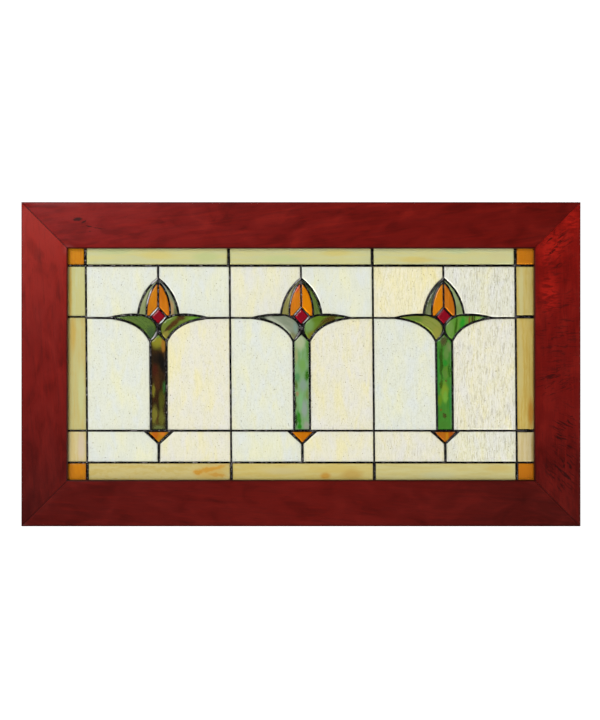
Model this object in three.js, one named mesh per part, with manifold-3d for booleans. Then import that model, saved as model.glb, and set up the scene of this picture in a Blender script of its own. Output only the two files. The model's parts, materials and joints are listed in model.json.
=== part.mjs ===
// Stained glass window: a panel of glass tiles joined by soldered seams, held in the groove
// of a mitred wooden frame. Millimetres, +Z up, and the front faces -Y.
// The origin is the middle of the frame's top edge, halfway through its depth.

import * as THREE from 'three';
import { mergeVertices } from 'three/addons/utils/BufferGeometryUtils.js';
import Module from 'manifold-3d';

const wasm = await Module();
wasm.setup();

// ---- Driving dimensions: the wooden frame ----

const frameWidth = 876;
const frameHeight = 508;
const frameDepth = 22;
const memberWidth = 72.6;
const arrisRadius = 2;
const arrisSteps = 2;
const mitreGap = 0.3;
const grooveDepth = 7.8;
const grooveWidth = 5.6;

// ---- Driving dimensions: the panel ----

const panelTuck = 7.1;
const glassThickness = 3;
const solderThickness = 4.9;
const solderLift = 0.05;
const foilLap = 0.6;
const tileClearance = 0.3;
const stripOverrun = 0.5;
const cutOvershoot = 1;

const daylightHalfWidth = frameWidth / 2 - memberWidth;
const daylightHalfHeight = frameHeight / 2 - memberWidth;
const panelHalfWidth = daylightHalfWidth + panelTuck;
const panelHalfHeight = daylightHalfHeight + panelTuck;

// ---- Layout of the panel, measured from its middle ----

const bayWidth = 225;
const fieldTop = 154.8;
const fieldBottom = -154.5;
const transomHeight = fieldTop - 82;
const lowerHeight = fieldBottom + 50;
const borderTransomLift = 1.6;

// Every upright seam and flower axis leans a little, as the tiles were cut by hand:
// how far it lies off its true place at the top and at the foot of the panel.
const uprightDrift = [[-0.5, 1.9], [0.5, 3.1], [0.1, 2.7], [-0.7, 1.7]];
const axisDrift = [[0.6, 1.9], [-0.1, 2.5], [-1.5, 2.1]];

// The joints of the top border lie this far off the uprights below them.
const topJointDrift = [-0.6, -1.5, -0.6, 0];

// How heavy each bay's solder lines are, next to the plain widths below.
const bayWeight = [1.08, 1, 0.96];

// Half the gap between a flower's two leaves at their waist.
const waistHalfGap = [2.2, 2.9, 0.8];

// ---- Flower, from its axis (u) and from the transom seam (h) ----
// A bulge or a pull is a control point of the curve between the points around it.

const budTip = [0, 62];
const budBase = [32, 4.7];
const budBulge = [27.4, 41];
const innerPetalTip = [0, 57];
const innerPetalFoot = [18.7, 2.2];
const innerPetalBulge = [19.6, 38.5];
const petalBaseBulge = [25, 4.9];
const diamondTop = [0, 16.3];
const diamondSide = [12.8, 2.3];
const diamondFoot = [0, -11.7];
const crestPulls = [[47, 5.6], [62, 3.6]];
const leafTip = [80, -0.2];
const leafLowerPulls = [[50, -2.2], [24.4, -12.4]];
const leafShoulderPull = [10, -0.6];
const leafWaistDepth = 17;
const leafWaistPullDepths = [8, 27];
const leafHeel = [12.8, -36.8];
const stemTip = [0, -24];
const stemFootHalfWidth = 12.4;
const footHalfWidth = 21.4;
const footDepth = 20.5;

// ---- Half widths of the solder lines, as they show on the face of the panel ----

const seam = {
  rim: 2.4,
  borderUpright: 2.1,
  borderLevel: 1.3,
  borderLevelRight: 2.3,
  fieldTop: 1.6,
  fieldBottom: 1.35,
  upright: 1.35,
  transom: 1.25,
  lower: 1.3,
  budCap: 1.35,
  bud: 1.45,
  petal: 1.25,
  petalBase: 1.2,
  diamond: 1.45,
  crest: 1.9,
  leaf: 1.55,
  leafInner: 1.5,
  stem: 1.5,
  stemFoot: 1.8,
  footCorner: 2.2,
  footPoint: 1.5,
  footPost: 1.85,
};

// ---- Finishes ----

const finishes = {
  wood: { color: 0x6b1a14, roughness: 0.42, metalness: 0 },
  solder: { color: 0x1e1d1c, roughness: 0.45, metalness: 0.6 },
  cream: { color: 0xe6e4cf, roughness: 0.3, metalness: 0 },
  lime: { color: 0xcdcc96, roughness: 0.3, metalness: 0 },
  straw: { color: 0xc9b878, roughness: 0.3, metalness: 0 },
  amber: { color: 0xc07a1f, roughness: 0.3, metalness: 0 },
  orange: { color: 0xd98415, roughness: 0.3, metalness: 0 },
  sage: { color: 0x8c9a68, roughness: 0.3, metalness: 0 },
  leaf: { color: 0x5c8a3c, roughness: 0.3, metalness: 0 },
};

// ---- Solids ----

// A closed three.js geometry as a solid that can be joined and cut.
function solidFrom(geometry) {
  geometry.deleteAttribute('normal');
  geometry.deleteAttribute('uv');
  const merged = mergeVertices(geometry);
  return new wasm.Manifold(new wasm.Mesh({
    numProp: 3,
    vertProperties: new Float32Array(merged.attributes.position.array),
    triVerts: new Uint32Array(merged.index.array),
  }));
}

function geometryFrom(solid) {
  const mesh = solid.getMesh();
  const geometry = new THREE.BufferGeometry();
  geometry.setAttribute('position', new THREE.Float32BufferAttribute(mesh.vertProperties, 3));
  geometry.setIndex(Array.from(mesh.triVerts));
  geometry.computeVertexNormals();
  return geometry;
}

// An outline in the plane of the panel, made as thick as the given half depth each way.
function slab(outline, halfDepth) {
  const geometry = new THREE.ExtrudeGeometry(new THREE.Shape(outline), {
    depth: 2 * halfDepth,
    steps: 1,
    bevelEnabled: false,
  });
  geometry.rotateX(Math.PI / 2);
  geometry.translate(0, halfDepth, 0);
  return solidFrom(geometry);
}

function namedMesh(name, geometry, finish) {
  const mesh = new THREE.Mesh(geometry, new THREE.MeshStandardMaterial(finishes[finish]));
  mesh.name = name;
  return mesh;
}

// ---- Paths in the plane of the panel ----

function leaningLine(x, [topDrift, footDrift]) {
  return (z) => x + THREE.MathUtils.mapLinear(z, fieldTop, fieldBottom, topDrift, footDrift);
}

function quadratic(start, bulge, end, steps) {
  return new THREE.QuadraticBezierCurve(start, bulge, end).getPoints(steps);
}

function cubic(start, startPull, endPull, end, steps) {
  return new THREE.CubicBezierCurve(start, startPull, endPull, end).getPoints(steps);
}

function reversed(path) {
  return [...path].reverse();
}

// The strip that lies within reach of a path, run on a little past both ends.
// The reach changes evenly from the path's start to its end.
function strip(path, startReach, endReach) {
  const left = [];
  const right = [];
  path.forEach((point, index) => {
    const reach = THREE.MathUtils.lerp(startReach, endReach, index / (path.length - 1));
    const before = path[Math.max(index - 1, 0)];
    const after = path[Math.min(index + 1, path.length - 1)];
    const intoPoint = point.clone().sub(before).normalize();
    const outOfPoint = after.clone().sub(point).normalize();
    const along = intoPoint.add(outOfPoint);
    const turn = index === 0 || index === path.length - 1 ? 1 : along.length() / 2;
    along.normalize();
    const across = new THREE.Vector2(-along.y, along.x).multiplyScalar(reach / turn);
    const centre = point.clone();
    if (index === 0) {
      centre.addScaledVector(along, -stripOverrun);
    }
    if (index === path.length - 1) {
      centre.addScaledVector(along, stripOverrun);
    }
    left.push(centre.clone().add(across));
    right.push(centre.clone().sub(across));
  });
  return [...left, ...right.reverse()];
}

// ---- Glass tiles ----

// A tile is bounded by seam centre lines, each with the half width of its solder line.
// The outline is cut back from every line by that half width, less the given allowance.
function cutBack(edges, allowance, halfDepth) {
  const outline = edges.flatMap(({ path }) => path.slice(0, -1));
  return edges.reduce((solid, { path, startHalf, endHalf }) => {
    const margin = strip(path, startHalf - allowance, endHalf - allowance);
    return solid.subtract(slab(margin, 2 * halfDepth));
  }, slab(outline, halfDepth));
}

function edge(path, startHalf, endHalf = startHalf) {
  return { path, startHalf, endHalf };
}

const at = (x, z) => new THREE.Vector2(x, z);

const uprights = uprightDrift.map((drift, index) => leaningLine((index - 1.5) * bayWidth, drift));
const axes = axisDrift.map((drift, index) => leaningLine((index - 1) * bayWidth, drift));

// The four-sided tile between two leaning lines and two levels, each with its half seam.
function borderTile(name, finish, { left, right, top, foot }) {
  const [leftLine, leftHalf] = left;
  const [rightLine, rightHalf] = right;
  const [topLevel, topHalf] = top;
  const [footLevel, footHalf] = foot;
  const corners = [
    at(leftLine(topLevel), topLevel),
    at(rightLine(topLevel), topLevel),
    at(rightLine(footLevel), footLevel),
    at(leftLine(footLevel), footLevel),
  ];
  const halves = [topHalf, rightHalf, footHalf, leftHalf];
  const edges = corners.map((corner, index) => {
    const next = corners[(index + 1) % corners.length];
    return edge([corner, next], halves[index]);
  });
  return { name, finish, edges };
}

function borderTiles() {
  const leftRim = [() => -panelHalfWidth, seam.rim];
  const rightRim = [() => panelHalfWidth, seam.rim];
  const topRim = [panelHalfHeight, seam.rim];
  const footRim = [-panelHalfHeight, seam.rim];
  const topLines = uprights.map((line, index) => (z) => line(z) + topJointDrift[index]);
  const topJoints = topLines.map((line) => [line, seam.borderUpright]);
  const footJoints = uprights.map((line) => [line, seam.borderUpright]);
  const fieldHead = [fieldTop, seam.fieldTop];
  const fieldFoot = [fieldBottom, seam.fieldBottom];
  const levels = (levelHalf) => [
    fieldHead,
    [transomHeight + borderTransomLift, levelHalf],
    [lowerHeight, levelHalf],
    fieldFoot,
  ];
  const leftLevels = levels(seam.borderLevel);
  const rightLevels = levels(seam.borderLevelRight);
  const topRow = { top: topRim, foot: fieldHead };
  const footRow = { top: fieldFoot, foot: footRim };
  const tiles = [
    borderTile('border_corner_top_left', 'amber', { left: leftRim, right: topJoints[0], ...topRow }),
    borderTile('border_corner_top_right', 'amber', { left: topJoints[3], right: rightRim, ...topRow }),
    borderTile('border_corner_foot_left', 'amber', { left: leftRim, right: footJoints[0], ...footRow }),
    borderTile('border_corner_foot_right', 'amber', { left: footJoints[3], right: rightRim, ...footRow }),
  ];
  for (let bay = 0; bay < 3; bay += 1) {
    const topSides = { left: topJoints[bay], right: topJoints[bay + 1] };
    const footSides = { left: footJoints[bay], right: footJoints[bay + 1] };
    tiles.push(borderTile(`border_top_${bay + 1}`, 'lime', { ...topSides, ...topRow }));
    tiles.push(borderTile(`border_foot_${bay + 1}`, 'straw', { ...footSides, ...footRow }));
  }
  ['upper', 'middle', 'lower'].forEach((row, index) => {
    const leftRow = { top: leftLevels[index], foot: leftLevels[index + 1] };
    const rightRow = { top: rightLevels[index], foot: rightLevels[index + 1] };
    const leftSide = { left: leftRim, right: [uprights[0], seam.upright], ...leftRow };
    const rightSide = { left: [uprights[3], seam.upright], right: rightRim, ...rightRow };
    tiles.push(borderTile(`border_left_${row}`, 'straw', leftSide));
    tiles.push(borderTile(`border_right_${row}`, 'straw', rightSide));
  });
  return tiles;
}

// The seam lines of one half of a flower. The half is 1 on the right of the axis, -1 on the left.
function flowerHalf(bay, half) {
  const axis = axes[bay];
  const on = ([u, h]) => at(axis(transomHeight + h) + half * u, transomHeight + h);
  const onAxis = (z) => at(axis(z), z);
  const gap = waistHalfGap[bay];
  const leafWaist = [gap, -leafWaistDepth];
  const [waistPullAbove, waistPullBelow] = leafWaistPullDepths.map((depth) => on([gap, -depth]));
  const footTip = onAxis(lowerHeight - footDepth);
  return {
    budCap: [onAxis(fieldTop), on(budTip)],
    bud: quadratic(on(budTip), on(budBulge), on(budBase), 6),
    petalGap: [on(budTip), on(innerPetalTip)],
    petal: quadratic(on(innerPetalTip), on(innerPetalBulge), on(innerPetalFoot), 5),
    petalBase: quadratic(on(budBase), on(petalBaseBulge), on(innerPetalFoot), 2),
    petalNotch: [on(innerPetalFoot), on(diamondSide)],
    diamondUpper: [on(diamondSide), on(diamondTop)],
    diamondLower: [on(diamondFoot), on(diamondSide)],
    spine: [on(diamondTop), on(innerPetalTip)],
    crest: cubic(on(budBase), ...crestPulls.map(on), on(leafTip), 4),
    leafShoulder: cubic(on(innerPetalFoot), on(leafShoulderPull), waistPullAbove, on(leafWaist), 5),
    leafInner: quadratic(on(leafWaist), waistPullBelow, on(leafHeel), 4),
    leafLower: cubic(on(leafTip), ...leafLowerPulls.map(on), on(leafHeel), 7),
    stemShoulder: [on(stemTip), on(leafHeel)],
    stemSide: [on(leafHeel), at(axis(lowerHeight) + half * stemFootHalfWidth, lowerHeight)],
    footSide: [at(axis(lowerHeight) + half * footHalfWidth, lowerHeight), footTip],
    footPost: [footTip, onAxis(fieldBottom)],
  };
}

// The background, petals and leaf on one side of a bay's flower.
function bayHalfTiles(bay, half) {
  const sideName = half > 0 ? 'right' : 'left';
  const outer = uprights[half > 0 ? bay + 1 : bay];
  const lines = flowerHalf(bay, half);
  const weight = bayWeight[bay];
  const end = (path) => path[path.length - 1];
  const level = (z, from, halfSeam) => edge([from, at(outer(z), z)], halfSeam);
  const side = (lowZ, highZ) => edge([at(outer(lowZ), lowZ), at(outer(highZ), highZ)], seam.upright);
  return [
    {
      name: `bay_${bay + 1}_upper_${sideName}`,
      finish: 'cream',
      edges: [
        edge(lines.budCap, seam.budCap * weight),
        edge(lines.bud, seam.bud * weight),
        edge(lines.crest, seam.crest * weight, seam.transom * weight),
        level(transomHeight, end(lines.crest), seam.transom * weight),
        side(transomHeight, fieldTop),
        edge([at(outer(fieldTop), fieldTop), lines.budCap[0]], seam.fieldTop),
      ],
    },
    {
      name: `bay_${bay + 1}_middle_${sideName}`,
      finish: 'cream',
      edges: [
        edge(reversed(lines.stemSide), seam.stem * weight),
        edge(reversed(lines.leafLower), seam.leaf * weight),
        level(transomHeight, end(lines.crest), seam.transom * weight),
        side(transomHeight, lowerHeight),
        edge([at(outer(lowerHeight), lowerHeight), end(lines.stemSide)], seam.lower * weight),
      ],
    },
    {
      name: `bay_${bay + 1}_lower_${sideName}`,
      finish: 'cream',
      edges: [
        edge(reversed(lines.footPost), seam.footPost * weight),
        edge(reversed(lines.footSide), seam.footPoint * weight, seam.footCorner * weight),
        level(lowerHeight, lines.footSide[0], seam.lower * weight),
        side(lowerHeight, fieldBottom),
        edge([at(outer(fieldBottom), fieldBottom), end(lines.footPost)], seam.fieldBottom),
      ],
    },
    {
      name: `flower_${bay + 1}_outer_petal_${sideName}`,
      finish: 'sage',
      edges: [
        edge(lines.bud, seam.bud * weight),
        edge(lines.petalBase, seam.petalBase * weight),
        edge(reversed(lines.petal), seam.petal * weight),
        edge(reversed(lines.petalGap), seam.petal * weight),
      ],
    },
    {
      name: `flower_${bay + 1}_inner_petal_${sideName}`,
      finish: 'orange',
      edges: [
        edge(lines.petal, seam.petal * weight),
        edge(lines.petalNotch, seam.petalBase * weight),
        edge(lines.diamondUpper, seam.diamond * weight),
        edge(lines.spine, seam.petal * weight),
      ],
    },
    {
      name: `flower_${bay + 1}_leaf_${sideName}`,
      finish: 'leaf',
      edges: [
        edge(reversed(lines.crest), seam.transom * weight, seam.crest * weight),
        edge(lines.petalBase, seam.petalBase * weight),
        edge(lines.leafShoulder, seam.leafInner * weight),
        edge(lines.leafInner, seam.leafInner * weight),
        edge(reversed(lines.leafLower), seam.leaf * weight),
      ],
    },
  ];
}

function stemTile(bay) {
  const left = flowerHalf(bay, -1);
  const right = flowerHalf(bay, 1);
  const weight = bayWeight[bay];
  return {
    name: `flower_${bay + 1}_stem`,
    finish: 'leaf',
    edges: [
      edge(right.stemShoulder, seam.stem * weight),
      edge(right.stemSide, seam.stem * weight),
      edge([right.stemSide[1], left.stemSide[1]], seam.stemFoot * weight),
      edge(reversed(left.stemSide), seam.stem * weight),
      edge(reversed(left.stemShoulder), seam.stem * weight),
    ],
  };
}

// The red diamond and the orange foot of a flower: the smallest tiles, one piece with the solder.
function bondedTiles(bay) {
  const left = flowerHalf(bay, -1);
  const right = flowerHalf(bay, 1);
  const weight = bayWeight[bay];
  const diamond = [
    right.diamondLower,
    right.diamondUpper,
    reversed(left.diamondUpper),
    reversed(left.diamondLower),
  ];
  const corner = seam.footCorner * weight;
  const point = seam.footPoint * weight;
  return [
    { edges: diamond.map((path) => edge(path, seam.diamond * weight)) },
    {
      edges: [
        edge(right.footSide, corner, point),
        edge(reversed(left.footSide), point, corner),
        edge([left.footSide[0], right.footSide[0]], seam.stemFoot * weight),
      ],
    },
  ];
}

function tileMesh({ name, finish, edges }) {
  return namedMesh(name, geometryFrom(cutBack(edges, foilLap, glassThickness / 2)), finish);
}

// ---- Solder ----

// Solder fills all of the panel that is not glass. Its face laps over the edge of every tile,
// and its core stands clear of the tile's edge. A bonded tile is left in, below the solder's face.
function solderMesh(tiles, bonded) {
  const half = solderThickness / 2;
  const outline = [
    at(-panelHalfWidth, -panelHalfHeight),
    at(panelHalfWidth, -panelHalfHeight),
    at(panelHalfWidth, panelHalfHeight),
    at(-panelHalfWidth, panelHalfHeight),
  ];
  const glassHalf = glassThickness / 2;
  let solder = slab(outline, half);
  tiles.forEach(({ edges }) => {
    solder = solder.subtract(cutBack(edges, 0, half + cutOvershoot));
    solder = solder.subtract(cutBack(edges, foilLap + tileClearance, glassHalf + solderLift));
  });
  bonded.forEach(({ edges }) => {
    const face = cutBack(edges, 0, half + cutOvershoot);
    const slabBetween = slab(outline, glassHalf);
    solder = solder.subtract(face.subtract(slabBetween));
  });
  return namedMesh('solder_seams', geometryFrom(solder), 'solder');
}

// ---- Wooden frame ----

// The section of a frame member: u runs from the outer edge to the glass, y from front to back.
function memberSection() {
  const front = -frameDepth / 2;
  const back = frameDepth / 2;
  const arris = (u, y, startAngle) => {
    const centre = at(u, y);
    return Array.from({ length: arrisSteps + 1 }, (_, step) => {
      const angle = startAngle + (step / arrisSteps) * (Math.PI / 2);
      return centre.clone().add(at(Math.cos(angle), Math.sin(angle)).multiplyScalar(arrisRadius));
    });
  };
  return [
    ...arris(arrisRadius, front + arrisRadius, Math.PI),
    ...arris(memberWidth - arrisRadius, front + arrisRadius, 1.5 * Math.PI),
    at(memberWidth, -grooveWidth / 2),
    at(memberWidth - grooveDepth, -grooveWidth / 2),
    at(memberWidth - grooveDepth, grooveWidth / 2),
    at(memberWidth, grooveWidth / 2),
    ...arris(memberWidth - arrisRadius, back - arrisRadius, 0),
    ...arris(arrisRadius, back - arrisRadius, 0.5 * Math.PI),
  ];
}

// A member lies along X under its outer edge, with both ends mitred at 45 degrees.
function memberGeometry(length) {
  const geometry = new THREE.ExtrudeGeometry(new THREE.Shape(memberSection()), {
    depth: 1,
    steps: 1,
    bevelEnabled: false,
  });
  // The two ends of the unit-long extrusion are moved out to the two mitres.
  const setback = mitreGap / Math.SQRT2;
  const position = geometry.attributes.position;
  for (let index = 0; index < position.count; index += 1) {
    const u = position.getX(index);
    const y = position.getY(index);
    const reach = length / 2 - setback - u;
    position.setXYZ(index, position.getZ(index) > 0.5 ? reach : -reach, y, -u);
  }
  geometry.deleteAttribute('normal');
  geometry.deleteAttribute('uv');
  const merged = mergeVertices(geometry);
  merged.computeVertexNormals();
  return merged;
}

function frameMembers() {
  const group = new THREE.Group();
  const places = [
    ['frame_top_rail', frameWidth, [0, 0, 0], 0],
    ['frame_bottom_rail', frameWidth, [0, 0, -frameHeight], Math.PI],
    ['frame_left_stile', frameHeight, [-frameWidth / 2, 0, -frameHeight / 2], -Math.PI / 2],
    ['frame_right_stile', frameHeight, [frameWidth / 2, 0, -frameHeight / 2], Math.PI / 2],
  ];
  places.forEach(([name, length, [x, y, z], turn]) => {
    const member = namedMesh(name, memberGeometry(length), 'wood');
    member.position.set(x, y, z);
    member.rotation.y = turn;
    group.add(member);
  });
  return group;
}

// ---- The window ----

function panelGroup() {
  const tiles = borderTiles();
  const bonded = [];
  for (let bay = 0; bay < 3; bay += 1) {
    tiles.push(...bayHalfTiles(bay, -1), ...bayHalfTiles(bay, 1), stemTile(bay));
    bonded.push(...bondedTiles(bay));
  }
  const group = new THREE.Group();
  group.position.z = -frameHeight / 2;
  group.add(solderMesh(tiles, bonded), ...tiles.map(tileMesh));
  return group;
}

const stainedGlassWindow = new THREE.Group();
stainedGlassWindow.add(frameMembers(), panelGroup());

export default stainedGlassWindow;
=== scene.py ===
import json
import math

import bpy
import numpy as np
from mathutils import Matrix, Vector, noise
from mathutils.geometry import delaunay_2d_cdt
from mathutils.kdtree import KDTree

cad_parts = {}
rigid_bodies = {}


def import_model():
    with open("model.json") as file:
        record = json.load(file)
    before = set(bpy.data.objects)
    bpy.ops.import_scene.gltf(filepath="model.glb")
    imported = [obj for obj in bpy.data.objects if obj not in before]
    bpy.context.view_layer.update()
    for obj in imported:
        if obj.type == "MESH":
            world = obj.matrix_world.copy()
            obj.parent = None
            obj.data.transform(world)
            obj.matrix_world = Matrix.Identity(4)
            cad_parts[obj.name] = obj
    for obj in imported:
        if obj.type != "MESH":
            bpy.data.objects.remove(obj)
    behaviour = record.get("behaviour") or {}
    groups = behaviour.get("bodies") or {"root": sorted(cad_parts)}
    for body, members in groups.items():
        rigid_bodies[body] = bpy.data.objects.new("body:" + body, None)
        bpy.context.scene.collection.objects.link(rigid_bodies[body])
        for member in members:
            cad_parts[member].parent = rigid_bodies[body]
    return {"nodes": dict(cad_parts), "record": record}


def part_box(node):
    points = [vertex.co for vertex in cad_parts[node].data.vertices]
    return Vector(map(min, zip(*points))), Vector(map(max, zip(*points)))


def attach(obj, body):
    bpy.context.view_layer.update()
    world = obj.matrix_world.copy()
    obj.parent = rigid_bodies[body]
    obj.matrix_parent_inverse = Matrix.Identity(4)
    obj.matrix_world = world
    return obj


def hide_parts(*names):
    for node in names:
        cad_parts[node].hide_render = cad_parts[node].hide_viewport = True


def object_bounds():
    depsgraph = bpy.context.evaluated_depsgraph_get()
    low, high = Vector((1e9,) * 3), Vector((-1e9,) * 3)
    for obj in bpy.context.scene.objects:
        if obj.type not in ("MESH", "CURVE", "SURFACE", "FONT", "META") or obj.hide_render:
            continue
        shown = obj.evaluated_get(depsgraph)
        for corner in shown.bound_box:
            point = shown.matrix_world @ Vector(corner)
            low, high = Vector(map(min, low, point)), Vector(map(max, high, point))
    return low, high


# The looks of a stained glass window: glass tiles in soldered seams, in a mitred wooden frame.
# The row frame is in metres, +Z up, and the front faces -Y. Lengths below are in millimetres
# unless their name says otherwise, and positions in the plane of the panel are (x, z).

MM = 0.001
NOISE_SEED = 1              # without one, the noise that moves the edges is new on each run

# ---- The panel ----

GLASS_HALF = 1.5            # half the thickness of the sheet glass
SOLDER_FACE = -2.45         # y of the flat front of the CAD solder, whose outline is the seams'
TILE_GAP = 0.03             # between a tile's edge and the solder round it
SEAM_LAP = 0.2              # how far the solder laps over its CAD outline, on to the glass
SEAM_SPACING = 1.02         # mesh spacing on the solder
TILE_SPACING = 2.4          # mesh spacing on the glass
ROLLING = 0.07              # how uneven the rolled sheet is, and over what distance
ROLLING_LENGTH = 16.0
RIPPLE = 0.09               # the height, the width and the shape of a rippled sheet's ripples
RIPPLE_LENGTH = 3.4
RIPPLE_STRETCH = 4.0
BACK_PATTERN = 40           # from the seed of a tile's front to that of its back
EDGE_WOBBLE = 0.17          # how far a hand-run seam strays, and over what distance
EDGE_WOBBLE_LENGTH = 7.0
BEAD_SINK = 0.12            # the bead's edge lies this far below the face of the glass
BEAD_FRONT = 0.82           # height of a bead, next to half its width
BEAD_BACK = 0.6
CROWN_BULGE = 1.2           # the bulge of a bead of common width at its crown
BEAD_LUMPS = 0.16
BEAD_LUMP_LENGTH = 4.5
FILM_ROUNDS = 160           # of easing, until the film that shapes the beads is at rest

CORNER_TURN = math.radians(28)     # an outline turns at least this much at a true corner
STRAIGHT_LENGTH = 14.0             # a side longer than this is straight
SHORTEST_SIDE = 0.5                # shorter sides are left over from the cutting of the seams
ROW_HEIGHT = 50.0                  # tiles of one kind within this height are in one row

# ---- The wooden frame ----

ARRIS_RADIUS = 2.0
ARRIS_STEPS = 6
GROOVE_DEPTH = 7.8          # the groove that holds the panel, and half its width
GROOVE_HALF = 2.8
MITRE_GAP = 0.3
MITRE_EASE = 0.35           # how far the faces sink at a mitre, and how fast that fades out
MITRE_EASE_END = 9.0
FACE_COLUMNS = 9            # mesh columns across a face
RAIL_STEP = 11.0            # mesh spacing along a member
PLANING_WAVE = 0.12         # how deep the hand plane's waves are

# ---- The studio ----

VIEW_DISTANCE = 2.6         # metres, from the camera to the front of the frame
FRAME_SHARE = 0.9327        # of the picture's width, that the window takes up
PICTURE = (600, 720)
LOOK_LEFT = 0.0015          # metres, from the middle of the window to the middle of the view
LOOK_UP = 0.0066
FLOOR_DROP = 0.55           # metres, from the foot of the window to the floor
FLOOR_HALF = 3.2
ROOM_SEEN = 1.25            # how bright the room is behind the window,
ROOM_MIRRORED = 0.03        # in reflections,
ROOM_LIGHT = 0.02           # and as light on the surfaces

# Each lamp's place and the side of its square face, in metres, and its power in watts.
LAMPS = {
    "key": ((-1.45, -2.5, 1.05), 0.9, 63),
    "fill": ((2.5, -1.7, -0.9), 1.4, 37),
    "behind": ((1.5, 2.6, 1.2), 1.4, 60),
}


def srgb(red, green, blue):
    """A colour as the shaders take it, from its 0 to 255 display values."""
    def linear(value):
        value /= 255
        return value / 12.92 if value <= 0.04045 else ((value + 0.055) / 1.055) ** 2.4
    return (linear(red), linear(green), linear(blue), 1.0)


# ======== Outlines ========

def face_loops(node, level):
    """The outlines, in millimetres, of a CAD node's faces that lie in the plane y = level."""
    points = np.array([v.co for v in node.data.vertices]) / MM
    keys = [tuple(key) for key in np.round(points[:, [0, 2]], 3)]
    level_sides = set()
    for polygon in node.data.polygons:
        corners = list(polygon.vertices)
        if max(abs(points[corners, 1] - level)) < 0.001:
            ring = [keys[corner] for corner in corners]
            level_sides.update(zip(ring, ring[1:] + ring[:1]))
    follow = {a: b for a, b in level_sides if (b, a) not in level_sides}
    loops = []
    while follow:
        loop = [next(iter(sorted(follow)))]
        while loop[-1] in follow:
            loop.append(follow.pop(loop[-1]))
        loops.append(np.array(loop[:-1]))
    return loops


def signed_area(loop):
    x, z = loop.T
    return 0.5 * float(np.sum(x * np.roll(z, -1) - np.roll(x, -1) * z))


def centroid(loop):
    return (loop.min(axis=0) + loop.max(axis=0)) / 2


def without_short_sides(loop):
    """The outline with both ends of every short side drawn together at its middle."""
    kept = []
    for point in loop:
        if kept and np.linalg.norm(point - kept[-1]) < SHORTEST_SIDE:
            kept[-1] = (kept[-1] + point) / 2
        else:
            kept.append(point)
    if np.linalg.norm(kept[0] - kept[-1]) < SHORTEST_SIDE:
        kept[0] = (kept[0] + kept.pop()) / 2
    return np.array(kept)


def resampled(loop, spacing):
    """The outline with true curves where its short sides stand for one, and sharp corners kept."""
    loop = without_short_sides(loop)
    sides = np.roll(loop, -1, axis=0) - loop
    lengths = np.linalg.norm(sides, axis=1)
    headings = sides / lengths[:, None]
    before = np.roll(headings, 1, axis=0)
    length_before = np.roll(lengths, 1)
    sharp = np.sum(before * headings, axis=1) < math.cos(CORNER_TURN)
    sharp |= (lengths > STRAIGHT_LENGTH) & (length_before > STRAIGHT_LENGTH)
    tangents = before / length_before[:, None] + headings / lengths[:, None]
    tangents[lengths > STRAIGHT_LENGTH] = headings[lengths > STRAIGHT_LENGTH]
    tangents[length_before > STRAIGHT_LENGTH] = before[length_before > STRAIGHT_LENGTH]
    tangents /= np.linalg.norm(tangents, axis=1)[:, None]
    points = []
    for i, start in enumerate(loop):
        j = (i + 1) % len(loop)
        leave = headings[i] if sharp[i] else tangents[i]
        arrive = headings[i] if sharp[j] else tangents[j]
        steps = max(1, round(lengths[i] / spacing))
        t = (np.arange(steps) / steps)[:, None]
        points.append(
            (2 * t**3 - 3 * t**2 + 1) * start
            + (t**3 - 2 * t**2 + t) * leave * lengths[i]
            + (3 * t**2 - 2 * t**3) * loop[j]
            + (t**3 - t**2) * arrive * lengths[i]
        )
    return np.vstack(points)


def hand_run(loop, seed):
    """The outline as a hand-run seam leaves it, straying a little from its line."""
    strayed = []
    for x, z in loop:
        place = Vector((x, seed * 31.7, z)) / EDGE_WOBBLE_LENGTH
        stray = noise.noise_vector(place) * EDGE_WOBBLE
        strayed.append((x + stray.x, z + stray.z))
    return np.array(strayed)


def inset(loop, distance):
    """The outline moved inwards, and blunted where it comes to a narrow tip. It runs anticlockwise."""
    sides = np.roll(loop, -1, axis=0) - loop
    headings = sides / np.linalg.norm(sides, axis=1)[:, None]
    mean = headings + np.roll(headings, 1, axis=0)
    mean /= np.linalg.norm(mean, axis=1)[:, None]
    mitre = 1 / np.maximum(np.sum(mean * headings, axis=1), 0.5)
    moved = loop + distance * mitre[:, None] * np.column_stack((-mean[:, 1], mean[:, 0]))
    away = moved[:, None] - loop[None]
    along = np.clip(np.sum(away * sides, axis=2) / np.sum(sides * sides, axis=1), 0, 1)
    clearance = np.linalg.norm(away - along[:, :, None] * sides, axis=2).min(axis=1)
    return moved[clearance > 0.9 * distance]


# ======== Meshes ========

def grid_points(loops, spacing):
    """A triangular grid of points inside the first outline and outside the others."""
    starts = np.vstack(loops)
    ends = np.vstack([np.roll(loop, -1, axis=0) for loop in loops])
    tree = KDTree(len(starts))
    for index, (x, z) in enumerate(starts):
        tree.insert((x, z, 0), index)
    tree.balance()
    row_step = spacing * math.sqrt(3) / 2
    low, high = loops[0].min(axis=0), loops[0].max(axis=0)
    points = []
    for row, level in enumerate(np.arange(low[1] + row_step / 2, high[1], row_step)):
        crossing = (starts[:, 1] > level) != (ends[:, 1] > level)
        a, b = starts[crossing], ends[crossing]
        cuts = np.sort(a[:, 0] + (level - a[:, 1]) / (b[:, 1] - a[:, 1]) * (b[:, 0] - a[:, 0]))
        shift = spacing / 2 * (row % 2)
        for left, right in zip(cuts[::2], cuts[1::2]):
            first = math.ceil((left - low[0] - shift) / spacing)
            last = math.floor((right - low[0] - shift) / spacing)
            for step in range(first, last + 1):
                x = low[0] + shift + step * spacing
                if tree.find((x, level, 0))[2] > 0.5 * spacing:
                    points.append((x, level))
    return points


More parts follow.
